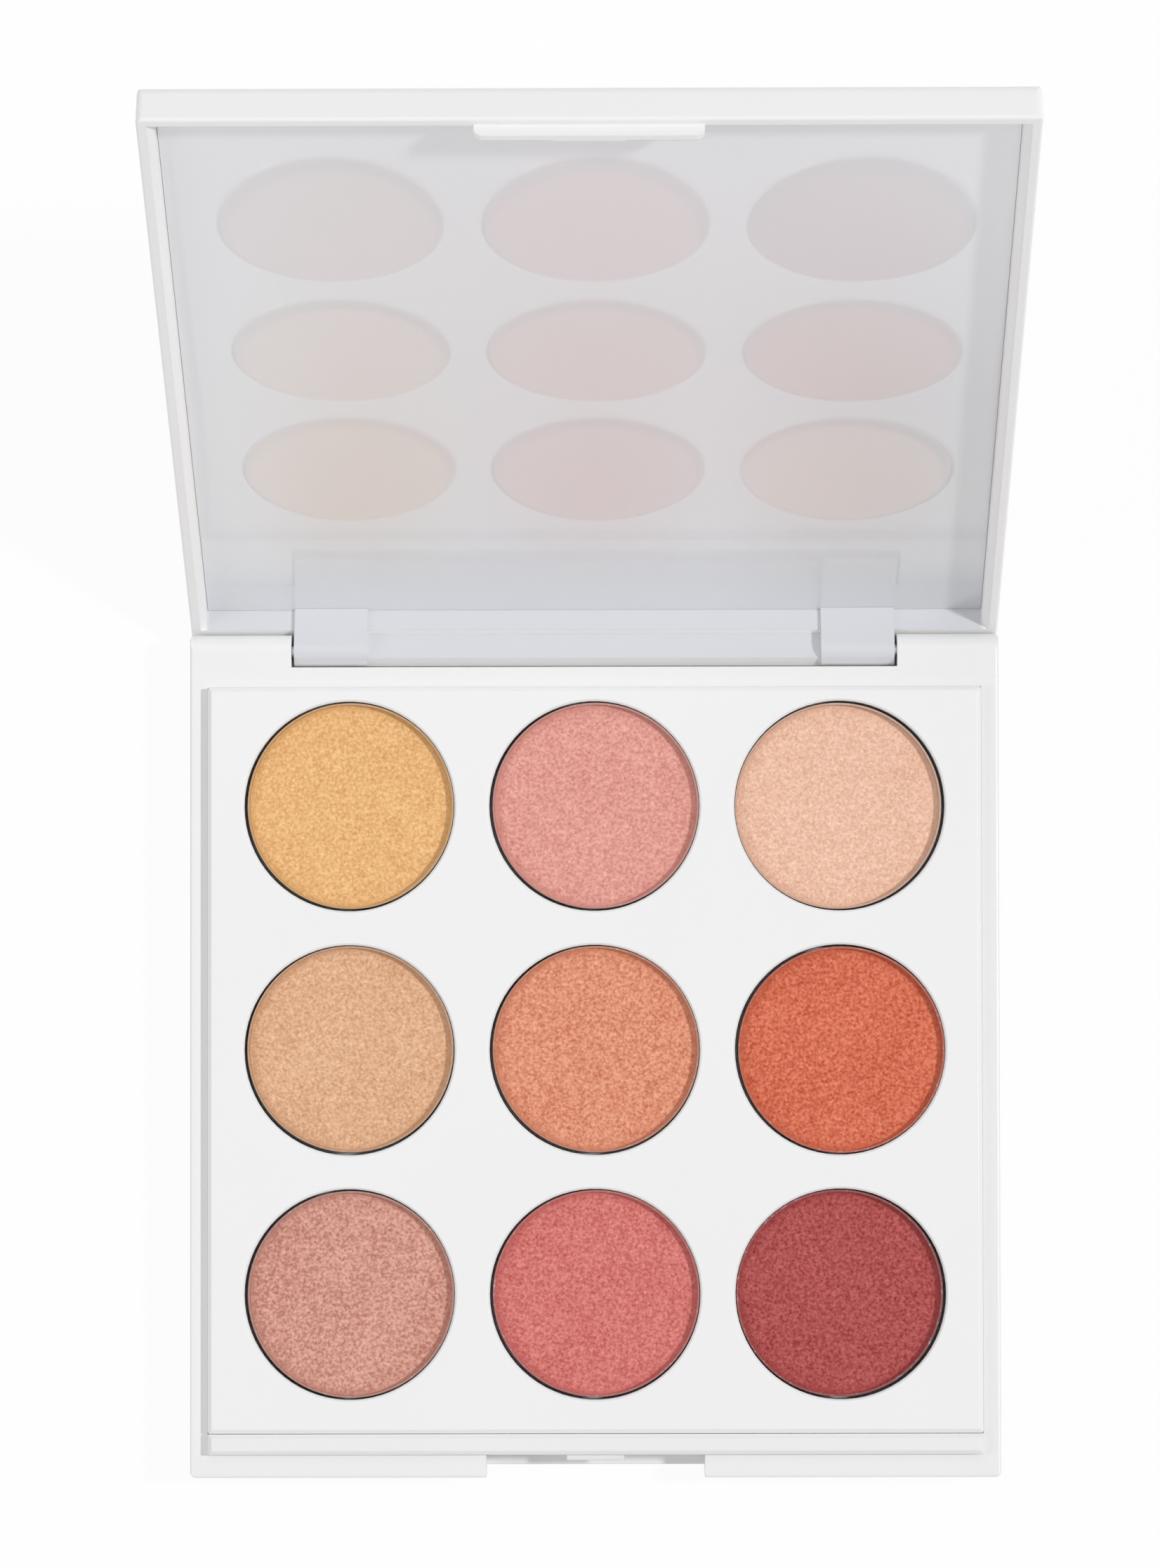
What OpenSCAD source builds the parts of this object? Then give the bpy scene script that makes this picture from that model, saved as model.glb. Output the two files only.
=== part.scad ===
// Nine-pan eyeshadow palette: a square hinged compact with a mirror in its lid.
// Origin: middle of the base's underside. +Z up, +Y towards the hinge, -Y towards the thumb notch.
// The lid is drawn shut and then turned back to its resting place against the open stop.

/* [Case] */
// Width of the case, side to side
case_w = 104.2; // [100:0.1:120]
// Depth of the case, thumb notch to hinge
case_d = 108.6; // [106:0.1:124]
// Height of the base up to its ledge
base_h = 8.0; // [7.5:0.1:11]
// Thickness of the base's floor
floor_t = 1.2; // [0.8:0.1:1.8]
// Radius of the upright corners
corner_r = 0.8; // [0.3:0.1:0.9]
// Rounding of the long outer edges of base and lid
edge_r = 1.4; // [0.5:0.1:1.8]
// Rounding of the edges that meet at the parting line
parting_r = 0.35; // [0.1:0.05:0.5]
// Width of the flat ledge along each side
side_ledge = 2.3; // [2.3:0.05:3.5]
// Width of the flat ledge along the front
front_ledge = 3.0; // [2.8:0.05:4]
// Width of the raised strip behind the front ledge
strip_d = 2.65; // [2:0.05:4]
// Depth of the flat deck between the tray and the hinge
rear_deck = 6.95; // [6.2:0.05:9]

/* [Hinge] */
// Angle of the lid from shut, where it rests on its stop
open_angle = 119; // [95:1:120]
// Distance of the hinge axis from the rear face and from the ledge
hinge_inset = 2.1; // [1.9:0.05:2.4]
// Radius of the lid's knuckles
knuckle_r = 1.95; // [1.7:0.05:2]
// Width of each knuckle
knuckle_w = 9.5; // [6:0.5:14]
// Length of the gap between the base's two ears
ear_gap = 78.1; // [60:0.1:82]
// Distance of the spine's front face ahead of the axis, between the knuckles
spine_front = 0.6; // [0.3:0.05:1.2]
// Distance of the spine's lower edge below the axis, between the knuckles
spine_drop = 1.5; // [1:0.05:1.8]
// Diameter of the hinge pins
pin_d = 1.5; // [1:0.1:1.8]
// Depth of the pin's hole in each knuckle
pin_reach = 8.0; // [4:0.5:10]
// Depth of the pin's outer end below the side of the case
pin_sink = 0.4; // [0.2:0.1:1]

/* [Latch] */
// Width of the thumb notch
notch_w = 28.1; // [20:0.1:40]
// Reach of the notch's floor in front of the catch wall
notch_floor_d = 1.6; // [0.8:0.1:2]
// Width of the catch nub
nub_w = 7.4; // [4:0.1:12]
// Reach of the catch nub
nub_d = 0.8; // [0.4:0.05:0.9]
// Height of the catch nub
nub_h = 0.9; // [0.6:0.05:1.2]
// Width of the latch flap
flap_w = 26.6; // [16:0.1:38]
// Reach of the latch flap below the lid's rim
flap_h = 1.7; // [1.5:0.05:3]
// Thickness of the latch flap
flap_t = 0.9; // [0.7:0.05:1.1]
// Distance of the flap behind the front face
flap_set = 0.9; // [0.2:0.05:1]
// Radius of the flap's lower corners
flap_r = 1.1; // [0.5:0.1:1.4]
// Radius of the bead inside the flap
bead_r = 0.35; // [0.2:0.05:0.4]

/* [Lid] */
// Width of the lid's flat rim
rim_w = 1.2; // [0.8:0.05:1.6]
// Width of the slope inside the rim
slope_w = 0.85; // [0.4:0.05:1]
// Depth of the slope inside the rim
slope_h = 1.0; // [0.5:0.05:1.5]
// Thickness of the lid's wall along the hinge
back_wall = 3.6; // [3:0.05:4]
// Thickness of the lid's outer skin
skin_t = 1.0; // [0.8:0.05:1.6]
// Depth of the mirror's face below the rim
mirror_recess = 3.1; // [2.8:0.05:4]
// Thickness of the mirror
mirror_t = 1.0; // [0.7:0.05:2]
// Thickness of the film that glues the mirror in
film_t = 0.15; // [0.1:0.05:0.3]
// Distance of the film from the mirror's edges
film_inset = 2.5; // [1:0.5:8]

/* [Tray] */
// Height of the tray's top above the ledge
tray_raise = 1.7; // [1.2:0.05:2.2]
// Thickness of the tray's top plate
plate_t = 1.2; // [0.8:0.05:2]
// Thickness of the tray's skirt
skirt_t = 1.0; // [0.7:0.05:1.5]
// Bevel along the tray's top edges
tray_bevel = 0.5; // [0.2:0.05:0.8]
// Radius of the tray's upright corners
tray_r = 0.3; // [0.2:0.1:1.2]
// Thickness of each well's wall and floor
well_t = 0.9; // [0.6:0.05:1.2]
// Narrowest web between two wells
well_web = 4.35; // [2:0.05:6]
// Width of the plate outside the wells at each side
side_web = 4.74; // [2:0.02:6]
// Width of the plate in front of the front wells
front_web = 4.34; // [1.5:0.02:6]
// Width of the plate behind the back wells
back_web = 1.84; // [1.5:0.02:4]
// Diameter of the push-out hole under each pan
push_hole_d = 6.0; // [4:0.5:10]
// Diameter of the pegs that hold the tray
peg_d = 2.4; // [1.5:0.1:3]
// Wall round each peg's socket
boss_wall = 1.4; // [0.8:0.1:2]
// Height of the sockets above the floor
boss_h = 2.6; // [1.5:0.1:3]

/* [Pans] */
// Height of a pan
pan_h = 4.4; // [3:0.1:5]
// Thickness of a pan's metal
pan_t = 0.25; // [0.15:0.05:0.5]
// Radius of a pan's lower edge
pan_foot_r = 0.8; // [0.4:0.1:1.2]
// Distance of a pan's rim below the top of the tray
pan_sink = 0.25; // [0.1:0.05:0.6]
// Distance of the powder's flat face below the pan's rim
powder_sink = 0.65; // [0.4:0.05:1.2]
// Distance of the powder's raised border below the pan's rim
border_sink = 0.12; // [0.02:0.02:0.3]
// Width of the raised border that the press leaves round the powder
border_w = 0.8; // [0.4:0.05:1.5]
// Thickness of the glue ring under each pan
glue_t = 0.25; // [0.1:0.05:0.5]
// Outer diameter of the glue ring
glue_d = 18; // [12:0.5:22]

/* [Fits] */
// Gap between the shut lid's rim and the ledge
parting_gap = 0.2; // [0.15:0.05:0.4]
// Gap round the moving parts of the hinge
swing_gap = 0.25; // [0.2:0.05:0.4]
// Gap between a knuckle and its ear
ear_side_gap = 0.3; // [0.2:0.05:0.6]
// Gap round the tray
tray_gap = 0.06; // [0.04:0.01:0.2]
// Gap round a pan in its well
well_gap = 0.25; // [0.2:0.05:0.4]
// Sideways rest of a pan in its well
pan_nudge = 0.18; // [0:0.01:0.18]
// Gap round the mirror
mirror_gap = 0.05; // [0.05:0.01:0.3]
// Radial clearance of a pin in its knuckle
pin_run = 0.04; // [0.02:0.01:0.08]
// Radial clearance of a pin in its ear, and of a peg in its socket
pin_seat = 0.01; // [0.01:0.005:0.02]

/* [Hidden] */
$fn = 72;
EPS = 0.01;
COLUMNS = ["left", "middle", "right"];
ROWS = ["front", "centre", "back"];

// Case faces
front_y = -case_d / 2;
rear_y = case_d / 2;
rim_z = base_h + parting_gap;
lid_h = mirror_recess + mirror_t + film_t + skin_t;

// Hinge: lean is how far the open lid stands past upright
axis_y = rear_y - hinge_inset;
axis_z = base_h - hinge_inset;
lean = open_angle - 90;
swing_reach = 3 * hinge_inset;
spine_w = ear_gap - 2 * ear_side_gap;
ear_w = (case_w - ear_gap) / 2;
spine_h = rim_z - axis_z;

// Pocket in the base and the tray that fills it
pocket_w = case_w - 2 * side_ledge;
pocket_front = front_y + front_ledge + strip_d;
pocket_rear = rear_y - rear_deck;
pocket_d = pocket_rear - pocket_front;
pocket_y = (pocket_rear + pocket_front) / 2;
tray_w = pocket_w - 2 * tray_gap;
tray_d = pocket_d - 2 * tray_gap;
tray_top = base_h + tray_raise;
tray_h = tray_top - floor_t;

// The largest wells that leave these webs round a square of nine, and the pans in them
wells_w = tray_w - 2 * side_web;
wells_d = tray_d - front_web - back_web;
well_r = (min(wells_w, wells_d) - 2 * well_web) / 6;
pitch_x = wells_w / 2 - well_r;
pitch_y = wells_d / 2 - well_r;
row_shift = pocket_y + (front_web - back_web) / 2;
pan_r = well_r - well_gap;

// Heights, from the top of the tray down to the well's floor
pan_z = tray_top - pan_sink - pan_h;
well_floor_z = pan_z - glue_t;
powder_h = pan_h - pan_t - powder_sink;
border_h = pan_h - pan_t - border_sink;

// Latch
catch_y = front_y + front_ledge;
flap_y = front_y + flap_set;

// Lid's inner pocket
lid_wall = rim_w + slope_w;
mirror_pocket_w = case_w - 2 * lid_wall;
mirror_pocket_front = front_y + lid_wall;
mirror_pocket_rear = rear_y - back_wall;
mirror_pocket_d = mirror_pocket_rear - mirror_pocket_front;
mirror_pocket_y = (mirror_pocket_rear + mirror_pocket_front) / 2;
mirror_z = rim_z + mirror_recess;

// Powder colours, by row from the front and by column from the left
POWDERS = [
    [[0.82, 0.60, 0.54], [0.83, 0.47, 0.45], [0.68, 0.33, 0.33]],
    [[0.87, 0.69, 0.55], [0.87, 0.58, 0.46], [0.84, 0.44, 0.34]],
    [[0.92, 0.72, 0.49], [0.88, 0.62, 0.58], [0.92, 0.75, 0.65]]
];

// Directions in which the pans rest off the middle of their wells, in degrees from the right
RESTS = [[7, 34, 147], [47, 31, -9], [18, 14, 192]];

function column_x(c) = (c - 1) * pitch_x;
function row_y(r) = row_shift + (r - 1) * pitch_y;
function rest(c, r) = pan_nudge * [cos(RESTS[r][c]), sin(RESTS[r][c]), 0];

// ---- outlines and blocks ----

// The waste of a rounded corner at the origin
module corner_waste(r) {
    difference() {
        translate([-1, -1]) square(r + 1);
        translate([r, r]) circle(r);
    }
}

// A bar's cross-section standing on the X axis, with rounded lower and upper corners
module round_profile(w, h, low_r, high_r) {
    difference() {
        translate([-w / 2, 0]) square([w, h]);
        for (side = [0, 1]) mirror([side, 0]) {
            translate([-w / 2, 0]) corner_waste(low_r);
            translate([-w / 2, h]) mirror([0, 1]) corner_waste(high_r);
        }
    }
}

// The same with straight bevels at the top
module bevel_profile(w, h, b) {
    polygon([[-w / 2, 0], [w / 2, 0], [w / 2, h - b], [w / 2 - b, h], [b - w / 2, h], [-w / 2, h - b]]);
}

module round_plan(w, d, r) {
    square([w - 2 * r, d], center = true);
    square([w, d - 2 * r], center = true);
    for (x = [-1, 1], y = [-1, 1]) translate([x * (w / 2 - r), y * (d / 2 - r)]) circle(r);
}

// Extrudes a side-to-side section along Y, and a front-to-rear section along X
module along_y(length) {
    rotate([90, 0, 0]) linear_extrude(length, center = true) children();
}
module along_x(length) {
    rotate([90, 0, 90]) linear_extrude(length, center = true) children();
}

// A case half with rounded edges all round
module case_slab(h, low_r, high_r) {
    intersection() {
        linear_extrude(h) round_plan(case_w, case_d, corner_r);
        along_y(case_d + 1) round_profile(case_w, h, low_r, high_r);
        along_x(case_w + 1) round_profile(case_d, h, low_r, high_r);
    }
}

// A block with bevelled top edges and rounded upright corners
module bevelled_block(w, d, h, b, r) {
    intersection() {
        linear_extrude(h) round_plan(w, d, r);
        along_y(d + 1) bevel_profile(w, h, b);
        along_x(w + 1) bevel_profile(d, h, b);
    }
}

// Puts a section drawn about the hinge axis in its place
module at_hinge(x, length) {
    translate([x, axis_y, axis_z]) along_x(length) children();
}

// Copies a left-hand feature to both sides
module both_sides() {
    children();
    mirror([1, 0, 0]) children();
}

module each_well() {
    for (c = [0:2], r = [0:2]) translate([column_x(c), row_y(r), 0]) children();
}

module each_peg() {
    for (x = [-1, 1], y = [-1, 1])
        translate([x * pitch_x / 2, row_shift + y * pitch_y / 2, 0]) children();
}

// ---- base ----

// What the lid's back wall sweeps behind the ears: a round about the axis, then the open stop
module ear_relief() {
    difference() {
        union() {
            square(swing_reach);
            rotate(-lean) square(swing_reach);
        }
        circle(hinge_inset);
    }
    rotate(-lean) translate([hinge_inset, -hinge_inset - swing_gap]) square(swing_reach);
}

// What the spine sweeps between the ears
module spine_trough() {
    circle(knuckle_r + swing_gap);
    translate([-knuckle_r - swing_gap, 0]) square(swing_reach + knuckle_r);
    rotate(-lean) translate([0, -hinge_inset - swing_gap]) square(swing_reach);
}

module thumb_notch() {
    depth = front_ledge + 1;
    translate([-notch_w / 2, catch_y - depth, floor_t]) cube([notch_w, depth, base_h]);
    translate([-notch_w / 2, catch_y - notch_floor_d - depth, -1]) cube([notch_w, depth, base_h]);
}

// Wedge on the catch wall, gentle above and steep below
module catch_nub() {
    top = base_h - 0.15;
    translate([0, catch_y, top]) along_x(nub_w)
        polygon([[0, 0], [-0.7 * nub_d, -0.25 * nub_h], [-nub_d, -0.5 * nub_h],
            [-nub_d, -0.75 * nub_h], [0, -nub_h], [EPS, -nub_h], [EPS, 0]]);
}

module base_shell() {
    strip_y = (catch_y + pocket_front) / 2;
    color([0.93, 0.93, 0.92]) {
        difference() {
            union() {
                case_slab(base_h, edge_r, parting_r);
                translate([0, strip_y, floor_t])
                    bevelled_block(tray_w, strip_d, tray_h, tray_bevel, tray_r);
            }
            translate([0, pocket_y, floor_t + base_h / 2])
                cube([pocket_w, pocket_d, base_h], center = true);
            at_hinge(0, case_w + 1) ear_relief();
            at_hinge(0, ear_gap) spine_trough();
            thumb_notch();
            both_sides() at_hinge((case_w - ear_w) / 2, ear_w + 1) circle(pin_d / 2 + pin_seat);
        }
        catch_nub();
        each_peg() difference() {
            translate([0, 0, floor_t - EPS]) cylinder(h = boss_h + EPS, d = peg_d + 2 * boss_wall);
            translate([0, 0, floor_t]) cylinder(h = boss_h + 1, r = peg_d / 2 + pin_seat);
        }
    }
}

// ---- tray and pans ----

module pan_tray() {
    under_plate = tray_top - plate_t;
    well_low = well_floor_z - well_t;
    peg_low = floor_t + 0.3;
    boss_top = floor_t + boss_h;
    color([0.95, 0.95, 0.94]) difference() {
        union() {
            translate([0, pocket_y, floor_t]) difference() {
                bevelled_block(tray_w, tray_d, tray_h, tray_bevel, tray_r);
                translate([0, 0, (tray_h - plate_t) / 2 - 1])
                    cube([tray_w - 2 * skirt_t, tray_d - 2 * skirt_t, tray_h - plate_t + 2], center = true);
            }
            each_well() translate([0, 0, well_low])
                cylinder(h = under_plate - well_low + EPS, r = well_r + well_t);
            each_peg() {
                translate([0, 0, peg_low]) cylinder(h = under_plate - peg_low + EPS, d = peg_d);
                translate([0, 0, boss_top])
                    cylinder(h = under_plate - boss_top + EPS, d = peg_d + 2 * boss_wall);
            }
        }
        each_well() {
            translate([0, 0, well_floor_z]) cylinder(h = tray_top, r = well_r);
            translate([0, 0, tray_top - well_gap])
                cylinder(h = 2 * well_gap, r1 = well_r, r2 = well_r + 2 * well_gap);
            translate([0, 0, well_low - 1]) cylinder(h = well_t + 2, d = push_hole_d);
        }
    }
}

module pan_glue_rings() {
    color([0.86, 0.85, 0.80]) each_well() translate([0, 0, well_floor_z]) difference() {
        cylinder(h = glue_t, d = glue_d);
        translate([0, 0, -1]) cylinder(h = glue_t + 2, d = push_hole_d + 2);
    }
}

module place_pan(c, r) {
    translate(rest(c, r) + [column_x(c), row_y(r), pan_z]) children();
}

// A drawn cup with a rounded foot
module pan(c, r) {
    inner = pan_r - pan_t;
    color([0.80, 0.80, 0.81]) place_pan(c, r) rotate_extrude() difference() {
        union() {
            square([pan_r - pan_foot_r, pan_h]);
            translate([0, pan_foot_r]) square([pan_r, pan_h - pan_foot_r]);
            translate([pan_r - pan_foot_r, pan_foot_r]) circle(pan_foot_r);
        }
        translate([-1, pan_t]) square([inner + 1, pan_h]);
        translate([-2, -1]) square([2, pan_h + 2]);
    }
}

// Pressed powder that fills the pan: a flat face inside a border that slopes up to the rim
module shadow(c, r) {
    radius = pan_r - pan_t - EPS;
    color(POWDERS[r][c]) place_pan(c, r) translate([0, 0, pan_t]) rotate_extrude()
        polygon([[0, 0], [radius, 0], [radius, border_h], [radius - border_w, powder_h], [0, powder_h]]);
}

// ---- lid ----

// Turns the shut lid back to its rest on the open stop
module at_rest() {
    translate([0, axis_y, axis_z]) rotate([-open_angle, 0, 0]) translate([0, -axis_y, -axis_z]) children();
}

// The spine at a knuckle: round below the axis, straight up into the back wall
module knuckle_section() {
    circle(knuckle_r);
    translate([-knuckle_r, 0]) square([2 * knuckle_r, spine_h + parting_r]);
}

// The spine between the knuckles, cut back in front and below
module spine_section() {
    intersection() {
        knuckle_section();
        translate([-spine_front, -spine_drop]) square([2 * swing_reach, 2 * swing_reach]);
    }
}

// The lid's pocket, with sloped sides inside the rim and an upright wall at the hinge
module mirror_pocket() {
    depth = mirror_recess + mirror_t + film_t;
    half_w = mirror_pocket_w / 2;
    half_d = mirror_pocket_d / 2;
    translate([0, mirror_pocket_y, rim_z]) intersection() {
        along_y(case_d)
            polygon([[-half_w - slope_w, 0], [-half_w - slope_w, -1],
                [half_w + slope_w, -1], [half_w + slope_w, 0],
                [half_w, slope_h], [half_w, depth], [-half_w, depth], [-half_w, slope_h]]);
        along_x(case_w)
            polygon([[-half_d - slope_w, 0], [-half_d - slope_w, -1], [half_d, -1],
                [half_d, depth], [-half_d, depth], [-half_d, slope_h]]);
    }
}

module latch_flap() {
    root = 2 * flap_r;
    flap_mid = flap_y + flap_t / 2;
    translate([0, flap_mid, rim_z - flap_h]) along_y(flap_t)
        round_profile(flap_w, flap_h + root, flap_r, flap_r);
    translate([0, flap_y + flap_t, rim_z - flap_h + bead_r]) along_x(nub_w + 1) circle(bead_r);
}

module lid_shell() {
    bore_x = spine_w / 2 - pin_reach / 2;
    strap_d = mirror_pocket_rear - (axis_y - knuckle_r);
    strap_x = (spine_w - knuckle_w) / 2;
    color([0.94, 0.94, 0.93]) at_rest() difference() {
        union() {
            difference() {
                translate([0, 0, rim_z]) case_slab(lid_h, parting_r, edge_r);
                mirror_pocket();
            }
            at_hinge(0, spine_w - 2 * knuckle_w + 2 * EPS) spine_section();
            both_sides() {
                at_hinge(strap_x, knuckle_w) knuckle_section();
                translate([strap_x - knuckle_w / 2, axis_y - knuckle_r, rim_z])
                    cube([knuckle_w, strap_d + EPS, mirror_recess - EPS]);
            }
            latch_flap();
        }
        both_sides() at_hinge(bore_x + 0.5, pin_reach + 1) circle(pin_d / 2 + pin_run);
    }
}

module mirror_plate(h, inset) {
    w = mirror_pocket_w - 2 * inset;
    d = mirror_pocket_d - 2 * inset;
    translate([0, mirror_pocket_y, h / 2]) cube([w, d, h], center = true);
}

module mirror_glass() {
    color([0.82, 0.84, 0.86]) at_rest() translate([0, 0, mirror_z]) mirror_plate(mirror_t, mirror_gap);
}

module mirror_film() {
    color([0.90, 0.89, 0.84]) at_rest() translate([0, 0, mirror_z + mirror_t])
        mirror_plate(film_t, film_inset);
}

// ---- pins ----

module hinge_pin(side) {
    outer_end = case_w / 2 - pin_sink;
    inner_end = spine_w / 2 - pin_reach + 0.3;
    color([0.70, 0.71, 0.73]) at_hinge(side * (outer_end + inner_end) / 2, outer_end - inner_end)
        circle(d = pin_d);
}

base_shell();
pan_tray();
pan_glue_rings();
for (c = [0:2], r = [0:2]) {
    place = str(ROWS[r], "_", COLUMNS[c]);
    pan(c, r);
    shadow(c, r);
}
hinge_pin(-1);  // hinge_pin_left
hinge_pin(1);  // hinge_pin_right
lid_shell();
mirror_glass();  // mirror
mirror_film();
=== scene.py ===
import math

import bmesh
import bpy
from mathutils import Matrix, Vector, noise


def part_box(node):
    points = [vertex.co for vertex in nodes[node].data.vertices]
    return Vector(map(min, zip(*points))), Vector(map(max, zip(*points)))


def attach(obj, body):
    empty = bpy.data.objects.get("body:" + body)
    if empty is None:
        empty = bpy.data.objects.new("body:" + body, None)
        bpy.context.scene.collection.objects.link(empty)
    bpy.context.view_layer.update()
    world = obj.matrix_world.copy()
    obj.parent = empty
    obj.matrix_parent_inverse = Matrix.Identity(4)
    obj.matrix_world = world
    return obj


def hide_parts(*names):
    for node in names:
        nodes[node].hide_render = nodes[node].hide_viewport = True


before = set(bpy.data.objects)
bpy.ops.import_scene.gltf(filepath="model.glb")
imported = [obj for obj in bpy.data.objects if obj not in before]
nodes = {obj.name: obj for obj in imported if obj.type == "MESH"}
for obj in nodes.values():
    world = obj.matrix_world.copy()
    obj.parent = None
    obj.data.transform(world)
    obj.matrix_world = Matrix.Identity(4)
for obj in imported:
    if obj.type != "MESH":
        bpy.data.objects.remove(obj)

bpy.context.view_layer.update()
print("frame loaded:", len(nodes), "nodes")


# camera, floor and light

cameraSettings = {
    "place": (0.004206, -0.012110, 0.802806),
    "tilt": 1.638,        # degrees towards the hinge, from straight down
    "yaw": 0.439,
    "roll": -0.109,
    "lens": 141.85,
    "rise": 0.12,         # lens shift that keeps the whole lid in frame
    "nearest": 0.01,
}

studio = {
    "white": (1, 1, 1, 1),
    "floorSize": 6.0,
    "floorDrop": 0.0001,  # just below the base, so that the two faces don't coincide
    "floorColour": (0.90, 0.90, 0.90, 1),
    "floorGlow": 0.93,    # share of plain white that the eye sees; the rest keeps the shadow
    "skyLight": 0.395,
}

lamps = {                 # place, size and power
    "keyLamp": ((1.20, 0.12, 1.52), 0.16, 17.0),
    "backLamp": ((-0.15, 0.95, 1.25), 0.9, 2.5),
    "leftLamp": ((-0.58, -0.05, 0.52), 0.40, 1.22),
    "frontLamp": ((0.05, -1.30, 0.60), 0.9, 1.3),
}
lampAim = Vector((0, 0, 0.02))


def placeCamera(s):
    camera = bpy.data.objects.new("viewCamera", bpy.data.cameras.new("viewCamera"))
    bpy.context.collection.objects.link(camera)
    turn = Matrix.Rotation(math.radians(s["tilt"]), 4, "X")
    turn = turn @ Matrix.Rotation(math.radians(s["yaw"]), 4, "Y")
    turn = turn @ Matrix.Rotation(math.radians(s["roll"]), 4, "Z")
    camera.matrix_world = Matrix.Translation(s["place"]) @ turn
    camera.data.lens = s["lens"]
    camera.data.shift_y = s["rise"]
    camera.data.clip_start = s["nearest"]
    bpy.context.scene.camera = camera


def hangLamp(name, place, size, power):
    lamp = bpy.data.objects.new(name, bpy.data.lights.new(name, "AREA"))
    bpy.context.collection.objects.link(lamp)
    lamp.data.size = size
    lamp.data.energy = power
    turn = (lampAim - Vector(place)).to_track_quat("-Z", "Y").to_matrix().to_4x4()
    lamp.matrix_world = Matrix.Translation(place) @ turn


# materials as expressions

class Value:              # a socket that can stand in a sum
    def __init__(self, finish, socket):
        self.finish = finish
        self.socket = socket

    def math(self, operation, first, second):
        return self.finish.add("ShaderNodeMath", {"operation": operation}, {0: first, 1: second})

    def __add__(self, other):
        return self.math("ADD", self, other)

    def __sub__(self, other):
        return self.math("SUBTRACT", self, other)

    def __rsub__(self, other):
        return self.math("SUBTRACT", other, self)

    def __mul__(self, other):
        return self.math("MULTIPLY", self, other)

    def __truediv__(self, other):
        return self.math("DIVIDE", self, other)

    def __rtruediv__(self, other):
        return self.math("DIVIDE", other, self)

    __radd__ = __add__
    __rmul__ = __mul__


class Finish:             # one node tree, of a material or of the world
    def __init__(self, name, owner=None):
        self.owner = owner or bpy.data.materials.new(name)
        self.owner.use_nodes = True
        self.tree = self.owner.node_tree
        self.tree.nodes.clear()

    def add(self, kind, settings=None, sockets=None, output=0):
        node = self.tree.nodes.new(kind)
        for name, setting in (settings or {}).items():
            setattr(node, name, setting)
        for key, value in (sockets or {}).items():
            if isinstance(value, Value):
                self.tree.links.new(value.socket, node.inputs[key])
            else:
                node.inputs[key].default_value = value
        return Value(self, node.outputs[output]) if node.outputs else node

    def where(self, kind="Object"):
        return self.add("ShaderNodeTexCoord", output=kind)

    def noise(self, scale, detail, place=None):
        return self.add("ShaderNodeTexNoise", {}, {
            "Vector": place or self.where(), "Scale": scale, "Detail": detail}, "Fac")

    def ramp(self, value, low, high):    # 0 at low, 1 at high
        return self.add("ShaderNodeMapRange", {"clamp": True}, {
            "Value": value, "From Min": low, "From Max": high})

    def blend(self, factor, first, second):
        return self.add("ShaderNodeMix", {"data_type": "RGBA"}, {0: factor, 6: first, 7: second}, 2)

    def vector(self, operation, first, second):
        return self.add("ShaderNodeVectorMath", {"operation": operation}, {0: first, 1: second})

    def unit(self, vector):
        return self.add("ShaderNodeVectorMath", {"operation": "NORMALIZE"}, {0: vector})

    def length(self, vector):
        return self.add("ShaderNodeVectorMath", {"operation": "LENGTH"}, {0: vector}, "Value")

    def dot(self, first, second):
        return self.add("ShaderNodeVectorMath", {"operation": "DOT_PRODUCT"}, {
            0: first, 1: second}, "Value")

    def along(self, vector, axis):
        return self.add("ShaderNodeSeparateXYZ", {}, {0: vector}, axis)

    def bump(self, height, depth, strength, normal=None):
        sockets = {"Height": height, "Distance": depth, "Strength": strength}
        if normal:
            sockets["Normal"] = normal
        return self.add("ShaderNodeBump", {}, sockets)

    def body(self, sockets):
        return self.add("ShaderNodeBsdfPrincipled", {}, sockets)

    def mixed(self, factor, first, second):
        return self.add("ShaderNodeMixShader", {}, {0: factor, 1: first, 2: second})

    def seenPlainly(self):    # 1 for the eye, and for what glass and metal show it
        eye, glossy, glass = (self.add("ShaderNodeLightPath", output=ray) for ray in (
            "Is Camera Ray", "Is Glossy Ray", "Is Transmission Ray"))
        return self.ramp(eye + glossy + glass, 0, 1)

    def close(self, shader, kind="ShaderNodeOutputMaterial"):
        self.add(kind, {}, {"Surface": shader})
        return self.owner


def shade(colour, gain=1.0, power=1.0):    # a paler or deeper colour, with its alpha
    return tuple(min(1.0, gain * c ** power) for c in colour) + (1,)


def lightWorld(s):
    world = bpy.data.worlds.new("studioAir")
    bpy.context.scene.world = world
    air = Finish("studioAir", world)
    strength = air.seenPlainly() * (1 - s["skyLight"]) + s["skyLight"]
    air.close(air.add("ShaderNodeBackground", {}, {"Color": s["white"], "Strength": strength}),
              "ShaderNodeOutputWorld")


def layFloor(s):
    bpy.ops.mesh.primitive_plane_add(size=s["floorSize"], location=(0, 0, -s["floorDrop"]))
    floor = bpy.context.object
    floor.name = "studioFloor"
    paper = Finish("studioPaper")
    matt = paper.add("ShaderNodeBsdfDiffuse", {}, {"Color": s["floorColour"]})
    glow = paper.add("ShaderNodeEmission", {}, {"Color": s["white"], "Strength": 1.0})
    floor.data.materials.append(paper.close(
        paper.mixed(paper.seenPlainly() * s["floorGlow"], matt, glow)))


placeCamera(cameraSettings)
for name, (place, size, power) in lamps.items():
    hangLamp(name, place, size, power)
lightWorld(studio)
layFloor(studio)
bpy.context.scene.view_settings.view_transform = "Standard"
print("studio ready")


# white mouldings

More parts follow.
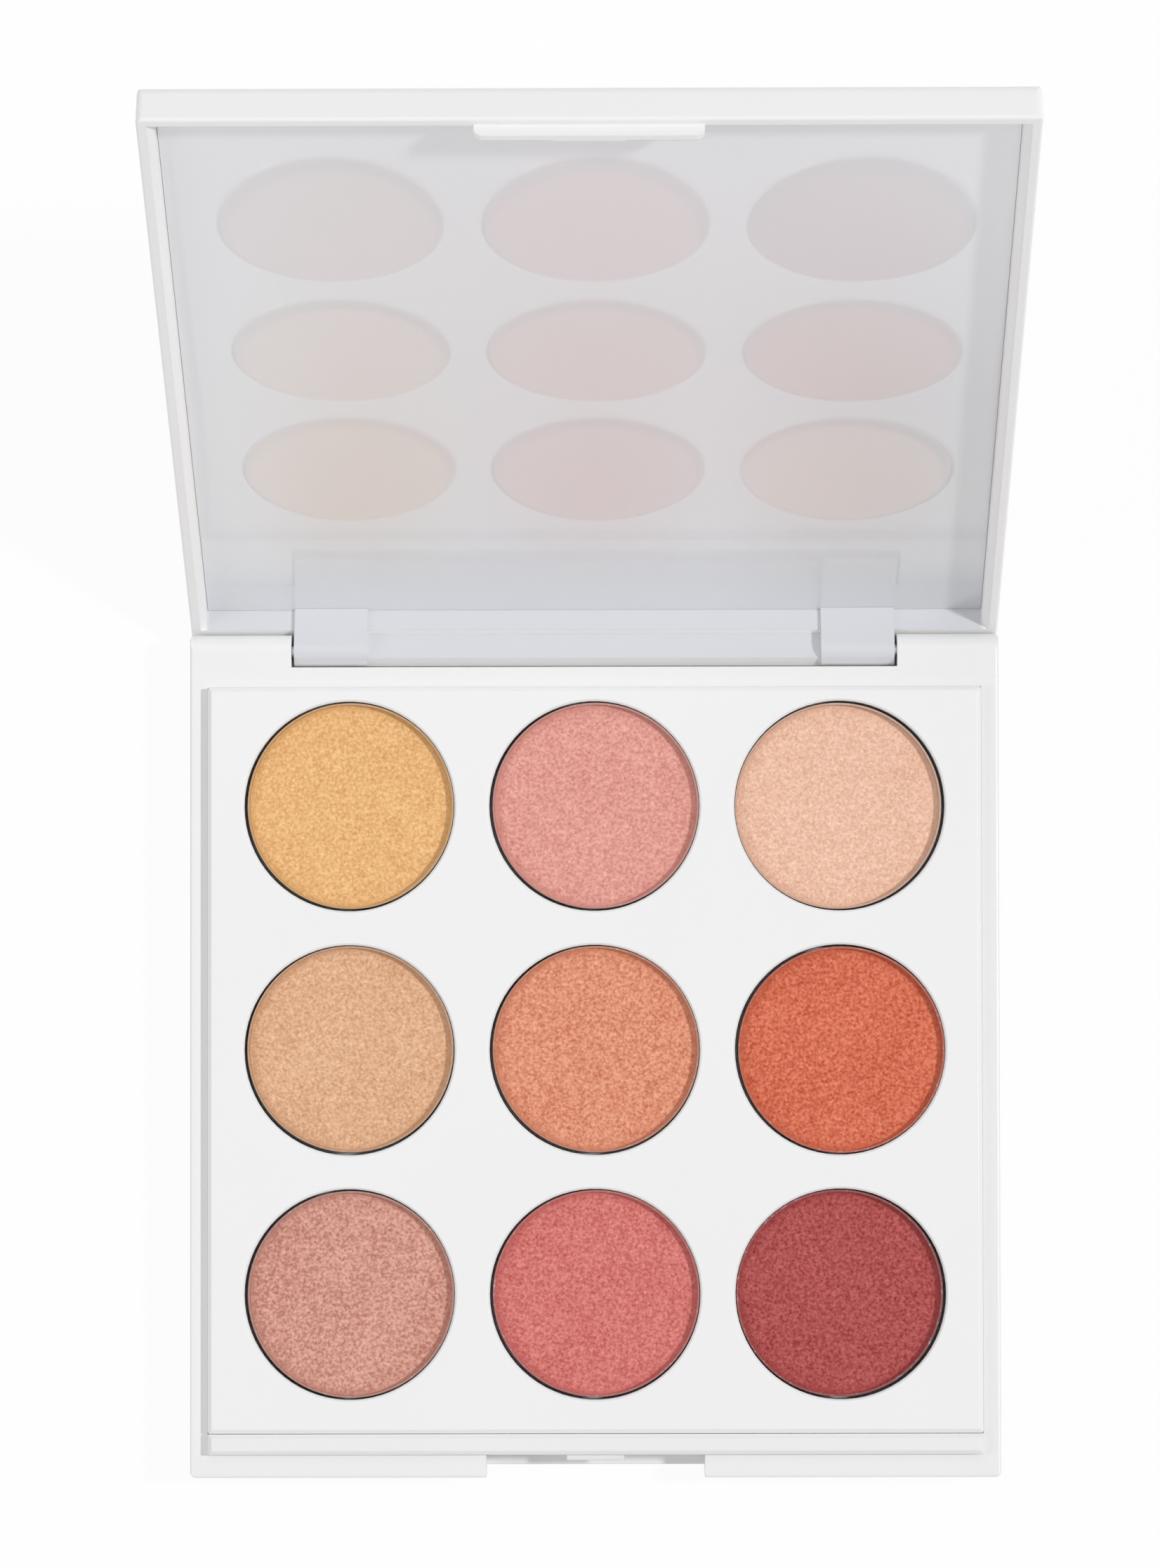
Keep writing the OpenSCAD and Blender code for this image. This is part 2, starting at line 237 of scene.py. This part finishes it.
mouldings = {
    "case": {"colour": (0.850, 0.850, 0.852), "warm": (0.840, 0.840, 0.838), "gloss": 0.32},
    "tray": {"colour": (0.872, 0.872, 0.874), "warm": (0.862, 0.862, 0.860), "gloss": 0.38},
    # the lid's white is set lighter than the case's: painted light, standing for more light on the
    # lid
    "lid": {"colour": (0.900, 0.900, 0.902), "warm": (0.892, 0.892, 0.890), "gloss": 0.32,
            # the last colour is painted shade: a darker, cooler white near the hinge
            "hingeShade": (0.676, 0.680, 0.712)},
}

plastic = {
    "flow": (22, 3),              # scale and detail: faint cloudiness of the resin
    "polish": (160, 4),           # uneven mould polish
    "peel": (2600, 2),            # orange peel
    "brushing": (900, 3),         # fine scuffs, drawn out along the depth
    "brushWay": (1.0, 0.08, 1.0),
    "scuffFrom": (0.62, 0.78),
    "polishShare": 0.10,          # of the roughness
    "scuffShare": 0.05,
    "scuffHeight": 0.3,
    "relief": (0.000004, 0.6),
    "edgeRound": 0.0002,          # how far the moulded edges look rounded
    "edgeSamples": 6,
    "coat": (0.12, 0.15),         # weight and roughness
    "index": 1.49,
}

hingeShadeFace = {                      # painted shade: a darker, cooler tone on the lid's inner face between the mirror and the hinge
    "distance": (0.0098, 0.0092), # from the hinge's axis, where the tone starts and is full
    "pastMirror": (0.0004, -0.0002),
    "facing": (0, 0.48, 0.87),
    "turned": (0.0, 0.45),
}


def mouldedPlastic(name, s):
    resin = Finish(name)
    flow = resin.ramp(resin.noise(*plastic["flow"]), 0.35, 0.65)
    polish = resin.noise(*plastic["polish"])
    peel = resin.noise(*plastic["peel"])
    grainWay = resin.vector("MULTIPLY", resin.where(), plastic["brushWay"])
    scuffs = resin.ramp(resin.noise(*plastic["brushing"], grainWay), *plastic["scuffFrom"])
    colour = resin.blend(flow, shade(s["colour"]), shade(s["warm"]))
    # painted shade near the hinge
    if "hingeShade" in s:
        colour = resin.blend(hingeShadeShare(resin, hingeShadeFace), colour, shade(s["hingeShade"]))
    roughness = s["gloss"] + (polish - 0.5) * plastic["polishShare"]
    roughness += scuffs * plastic["scuffShare"]
    rounded = resin.add("ShaderNodeBevel", {"samples": plastic["edgeSamples"]}, {
        "Radius": plastic["edgeRound"]})
    weight, coatRoughness = plastic["coat"]
    return resin.close(resin.body({
        "Base Color": colour, "Roughness": roughness, "IOR": plastic["index"],
        "Normal": resin.bump(peel + scuffs * plastic["scuffHeight"], *plastic["relief"], rounded),
        "Coat Weight": weight, "Coat Roughness": coatRoughness}))


# where the painted hinge shade falls: close to the hinge's axis, within the mirror's width, on
# faces turned the way 'facing' gives
def hingeShadeShare(resin, s):
    low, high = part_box("mirror")
    start, full = s["pastMirror"]
    place = resin.where()
    fromHinge = resin.vector("SUBTRACT", place, mirrorSettings["hinge"])
    distance = resin.length(resin.vector("MULTIPLY", fromHinge, (0, 1, 1)))
    across = resin.length(resin.vector("MULTIPLY", place, (1, 0, 0)))
    facing = resin.dot(resin.where("Normal"), s["facing"])
    share = resin.ramp(distance, *s["distance"]) * resin.ramp(across, high.x + start, high.x + full)
    return share * resin.ramp(facing, *s["turned"])


# metal, glass and glue

metals = {
    "pan": {"colour": (0.50, 0.49, 0.49), "roughness": 0.42, "dusty": 1.0},
    "pin": {"colour": (0.55, 0.55, 0.56), "roughness": 0.25, "dusty": 0},
}

turning = {
    "rings": (420, 2),            # scale and detail: marks left by turning
    "dullness": (900, 3),
    "dusting": (1900, 3),
    "dustFrom": (0.80, 0.98),     # share of the height
    "dustWander": 0.5,
    "dustTone": (0.05, 0.60),     # the powder's own colour, greyed
    "dustRelief": 0.6,
    "dullTone": 0.88,
    "roughen": (0.12, 0.10, 0.4), # by the rings, the dullness and the dust
    "relief": (0.000008, 0.5),
    "specular": 0.25,
}

mirrorSettings = {
    "haze": (0.800, 0.811, 0.835),
    "cloud": (30, 2),
    "cloudTone": 0.985,
    "shadedCorner": 0.885,            # painted shade: tone of the haze where it darkens towards one corner
    "shadedCornerAcross": (0.30, 0.85),
    "shadedCornerAlong": (-0.70, 0.10),
    "dust": (5200, 1),
    "dustFrom": (0.70, 0.80),
    "hazeMetal": 0.35,
    "hazeRoughness": 0.42,
    "hazeIndex": 1.45,
    "silver": (0.92, 0.92, 0.93),
    "silverRoughness": 0.015,
    "dustShare": (0.1, 0.02, 0.02),  # in the haze, in the silver and in the clear image
    "clarity": 0.11,              # share of light that comes back as a clear image
    "lean": -119,                 # degrees from shut to rest, about the hinge
    "hinge": (0, 0.0522, 0.0059),
    "reach": 0.050,               # distance in which the bow across and along is counted
    "bowAcross": (-0.05, -2.934, -0.613, -0.076, 0.593, -0.61),
    "bowAlong": (1.5, -0.069, -0.042, 0.089, -0.056, 1.186),
}

glueSettings = {
    "blotch": (700, 3),
    "clear": (0.74, 0.72, 0.64),
    "milky": (0.80, 0.79, 0.72),
    "roughness": (0.35, 0.25),
    "relief": (0.00003, 0.5),
}


def turnedMetal(name, s, powder=(0.5, 0.5, 0.5)):
    metal = Finish(name)
    fromMiddle = metal.vector("SUBTRACT", metal.where("Generated"), (0.5, 0.5, 0.0))
    radius = metal.add("ShaderNodeCombineXYZ", {}, {0: metal.length(fromMiddle)})
    rings = metal.noise(*turning["rings"], radius)
    dull = metal.noise(*turning["dullness"])
    height = metal.along(metal.where("Generated"), "Z")
    dust = (metal.noise(*turning["dusting"]) - 0.5) * turning["dustWander"]
    dust = metal.ramp(height + dust, *turning["dustFrom"]) * s["dusty"]
    colour = metal.blend(metal.ramp(dull, 0.3, 0.7), shade(s["colour"]),
                         shade(s["colour"], turning["dullTone"]))
    grey, tone = turning["dustTone"]
    colour = metal.blend(dust, colour, tuple(grey + tone * c for c in powder) + (1,))
    byRings, byDullness, byDust = turning["roughen"]
    roughness = s["roughness"] + (rings - 0.5) * byRings + (dull - 0.5) * byDullness + dust * byDust
    return metal.close(metal.body({
        "Base Color": colour, "Metallic": 1 - dust, "Roughness": roughness,
        "Normal": metal.bump(rings + dust * turning["dustRelief"], *turning["relief"]),
        "Specular IOR Level": turning["specular"]}))


def plateAxes(s):         # across the plate, along it to the hinge, and out of its face
    turn = math.radians(s["lean"])
    return (1, 0, 0), (0, math.cos(turn), math.sin(turn)), (0, math.sin(turn), -math.cos(turn))


def plateShares(glass, s):    # how far across and along the plate, from its middle
    across, along, out = plateAxes(s)
    place = glass.vector("SUBTRACT", glass.where(), s["hinge"])
    x = glass.dot(place, across) / s["reach"]
    y = (glass.dot(place, along) + s["hinge"][1]) / s["reach"]
    return x, y


def bowedNormal(glass, s):    # the thin plate bows by a few degrees in its frame
    across, along, normal = plateAxes(s)
    x, y = plateShares(glass, s)
    terms = (1, x, y, x * x, x * y, y * y)
    for bow, way in ((s["bowAcross"], across), (s["bowAlong"], along)):
        tilt = sum((math.radians(c) * t for c, t in zip(bow, terms)), 0)
        step = glass.add("ShaderNodeVectorMath", {"operation": "SCALE"}, {0: way, "Scale": tilt})
        normal = glass.vector("ADD", normal, step)
    return glass.unit(glass.add("ShaderNodeVectorTransform", {
        "vector_type": "NORMAL", "convert_from": "OBJECT", "convert_to": "WORLD"}, {0: normal}))


def hazedMirror(name, s):
    glass = Finish(name)
    cloud = glass.ramp(glass.noise(*s["cloud"]), 0.3, 0.7)
    dust = glass.ramp(glass.noise(*s["dust"]), *s["dustFrom"])
    inHaze, inSilver, inImage = s["dustShare"]
    x, y = plateShares(glass, s)
    # painted shade: the haze darker towards one corner of the mirror
    cornerShade = glass.ramp(x, *s["shadedCornerAcross"]) * glass.ramp(y, *s["shadedCornerAlong"])
    tone = glass.blend(cloud, shade(s["haze"]), shade(s["haze"], s["cloudTone"]))
    haze = glass.body({
        "Base Color": glass.blend(cornerShade, tone, shade(s["haze"], s["shadedCorner"])),
        "Metallic": s["hazeMetal"], "Roughness": s["hazeRoughness"] + dust * inHaze,
        "IOR": s["hazeIndex"]})
    silver = glass.body({
        "Base Color": shade(s["silver"]), "Metallic": 1.0,
        "Roughness": s["silverRoughness"] + dust * inSilver, "Normal": bowedNormal(glass, s)})
    return glass.close(glass.mixed(s["clarity"] - dust * inImage, haze, silver))


def softGlue(name, s):
    glue = Finish(name)
    blotch = glue.noise(*s["blotch"])
    least, spread = s["roughness"]
    return glue.close(glue.body({
        "Base Color": glue.blend(blotch, shade(s["clear"]), shade(s["milky"])),
        "Roughness": least + blotch * spread, "Normal": glue.bump(blotch, *s["relief"])}))


# pressed powder

cakeShape = {
    "rings": 38,
    "edgeRings": 26,
    "spokes": 216,
    "sink": 0.00078,              # depth of the flat face below the solid's top
    "edgeSink": 0.00072,          # the same where the border meets the rim
    "bank": 0.00100,              # width of the hollow border that climbs to the rim
    "bankGap": 0.0001,            # flat powder kept clear of the border
    "curve": 2.2,
    "wander": ((420, 1.7, 0.00008), (1500, 4.1, 0.00005)),  # scale, layer, depth
    "steady": 0.0003,             # distance from the rim in which the wander dies out
    "grit": ((900, 2.3), (3100, 5.5)),
    "relief": 0.000012,
    "skirt": 0.0011,              # depth of the first ring down the cake's side
}

powderSettings = {
    "grain": (2500, 1.5),         # scale and detail
    "fine": (4800, 1.0),
    "cloud": (150, 3),
    "mica": 4600,
    "flakeFrom": (0.6, 1.0),
    "mixing": (1.95, 0.6, 0.3, 0.12),  # of grain, fine grain, cloud and flakes
    "middle": 0.48,
    "deep": (0.82, 1.27),         # gain and power of the cake's colour
    "pale": (1.12, 0.80),
    # painted shade: a deeper tone on the border by the rim, where the pan's hollow edge lies in
    # shade
    "border": (0.90, 1.08),
    "borderShare": 0.65,
    "borderWander": 0.0003,
    "borderFrom": (0.8, 0.1),     # shares of the bank's width
    "flakeLean": (0.20, 0.20, 0.0),
    "flakeMetal": 0.15,
    "flakeGloss": 0.16,
    "roughness": 0.68,
    "fineHeight": 0.4,
    "relief": (0.00008, 0.5),
    "index": 1.40,
    "specular": 0.2,
}

cakes = {
    "back_left": {"slot": "powder_gold", "colour": (0.830, 0.473, 0.195), "grain": 0.85},
    "back_middle": {"slot": "powder_pink", "colour": (0.764, 0.336, 0.281), "grain": 0.85},
    "back_right": {"slot": "powder_champagne", "colour": (0.853, 0.529, 0.382), "grain": 0.75},
    "centre_left": {"slot": "powder_tan", "colour": (0.757, 0.432, 0.253), "grain": 0.9},
    "centre_middle": {"slot": "powder_peach", "colour": (0.747, 0.287, 0.170), "grain": 1.1},
    "centre_right": {"slot": "powder_orange", "colour": (0.667, 0.151, 0.078), "grain": 1.1},
    "front_left": {"slot": "powder_mauve", "colour": (0.646, 0.307, 0.239), "grain": 1.25},
    "front_middle": {"slot": "powder_rose", "colour": (0.666, 0.178, 0.160), "grain": 1.0},
    "front_right": {"slot": "powder_burgundy", "colour": (0.415, 0.073, 0.070), "grain": 1.0},
}


def pressedPowder(cake, s, place, bank):
    powder = Finish(cake["slot"])
    spot = powder.where()
    grain = powder.noise(*s["grain"], spot) - 0.5
    fine = powder.noise(*s["fine"], spot) - 0.5
    cloud = powder.noise(*s["cloud"], spot) - 0.5
    mica = powder.add("ShaderNodeTexVoronoi", {}, {"Vector": spot, "Scale": s["mica"]}, "Color")
    flake = powder.ramp(powder.add("ShaderNodeSeparateColor", {}, {0: mica}), *s["flakeFrom"])

    byGrain, byFine, byCloud, byFlake = s["mixing"]
    amount = grain * byGrain + fine * byFine + cloud * byCloud + flake * byFlake
    amount = amount * cake["grain"] + s["middle"]
    tone = powder.blend(powder.ramp(amount, 0, 1), shade(cake["colour"], *s["deep"]),
                        shade(cake["colour"], *s["pale"]))

    low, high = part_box("shadow_" + place)
    fromMiddle = powder.vector("SUBTRACT", spot, tuple((low + high) / 2))
    radius = powder.length(powder.vector("MULTIPLY", fromMiddle, (1, 1, 0)))
    start, full = ((high.x - low.x) / 2 - bank * share for share in s["borderFrom"])
    # painted shade on the border by the rim
    bankShadeMask = powder.ramp(radius + grain * s["borderWander"], start, full)
    tone = powder.blend(bankShadeMask * s["borderShare"], tone, shade(cake["colour"], *s["border"]))

    lean = powder.vector("MULTIPLY", powder.vector("SUBTRACT", mica, (0.5, 0.5, 0.5)),
                         s["flakeLean"])
    facing = powder.unit(powder.vector(
        "ADD", powder.add("ShaderNodeNewGeometry", output="Normal"), lean))
    return powder.close(powder.body({
        "Base Color": tone, "Metallic": flake * s["flakeMetal"],
        "Roughness": s["roughness"] - flake * s["flakeGloss"],
        "Normal": powder.bump(grain + fine * s["fineHeight"], *s["relief"], facing),
        "IOR": s["index"], "Specular IOR Level": s["specular"]}))


def ripple(x, y, scale, layer):
    return noise.noise(Vector((x * scale, y * scale, layer)))


def cakeDrop(x, y, radius, reach, s):     # how far the face lies below the solid's top
    wander = sum(ripple(x, y, scale, layer) * depth for scale, layer, depth in s["wander"])
    wander *= min(1.0, max(0.0, (reach - radius) / s["steady"]))
    climb = min(1.0, max(0.0, 1 - (reach - radius - wander) / s["bank"])) ** s["curve"]
    grit = sum(ripple(x, y, scale, layer) for scale, layer in s["grit"])
    return s["sink"] - (s["sink"] - s["edgeSink"]) * climb + s["relief"] * (2 + grit)


def pressedCake(place, s):
    low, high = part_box("shadow_" + place)
    middle = (low + high) / 2
    reach = (high.x - low.x) / 2
    foot = reach - s["bank"] - s["bankGap"]
    radii = [foot * k / s["rings"] for k in range(1, s["rings"] + 1)]
    radii += [foot + (reach - foot) * k / s["edgeRings"] for k in range(1, s["edgeRings"] + 1)]
    shape = bmesh.new()

    def point(radius, turn):
        x, y = middle.x + radius * math.cos(turn), middle.y + radius * math.sin(turn)
        return shape.verts.new((x, y, high.z - cakeDrop(x, y, radius, reach, s)))

    turns = [2 * math.pi * k / s["spokes"] for k in range(s["spokes"])]
    rows = [[point(radius, turn) for turn in turns] for radius in radii]
    rim = rows[-1]
    for z in (high.z - s["skirt"], middle.z, low.z):
        rows.append([shape.verts.new((v.co.x, v.co.y, z)) for v in rim])
    crown = point(0, 0)
    root = shape.verts.new((middle.x, middle.y, low.z))
    for k in range(s["spokes"]):
        m = (k + 1) % s["spokes"]
        for inner, outer in zip(rows, rows[1:]):
            shape.faces.new((inner[k], outer[k], outer[m], inner[m]))
        shape.faces.new((crown, rows[0][k], rows[0][m]))
        shape.faces.new((root, rows[-1][m], rows[-1][k]))

    mesh = bpy.data.meshes.new("cake_" + place)
    shape.to_mesh(mesh)
    shape.free()
    for face in mesh.polygons:
        face.use_smooth = True
    cake = bpy.data.objects.new("cake_" + place, mesh)
    bpy.context.collection.objects.link(cake)
    return cake


for place, s in cakes.items():
    cake = pressedCake(place, cakeShape)
    cake.data.materials.append(pressedPowder(s, powderSettings, place, cakeShape["bank"]))
    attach(cake, "base")
    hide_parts("shadow_" + place)
print("powder pressed:", len(cakes), "cakes")


# finishes on the CAD nodes

def paint(names, material):
    for name in names:
        for slot in nodes[name].material_slots:
            slot.material = material


paint(["base_shell"], mouldedPlastic("caseWhite", mouldings["case"]))
paint(["lid_shell"], mouldedPlastic("lidWhite", mouldings["lid"]))
paint(["pan_tray"], mouldedPlastic("trayWhite", mouldings["tray"]))
for place, s in cakes.items():
    paint(["pan_" + place], turnedMetal("pan_" + s["slot"], metals["pan"], s["colour"]))
paint(["hinge_pin_left", "hinge_pin_right"], turnedMetal("pinSteel", metals["pin"]))
paint(["mirror"], hazedMirror("mirrorGlass", mirrorSettings))
paint(["pan_glue_rings", "mirror_film"], softGlue("clearGlue", glueSettings))
print("finishes on", len(nodes), "nodes")

bpy.context.view_layer.update()
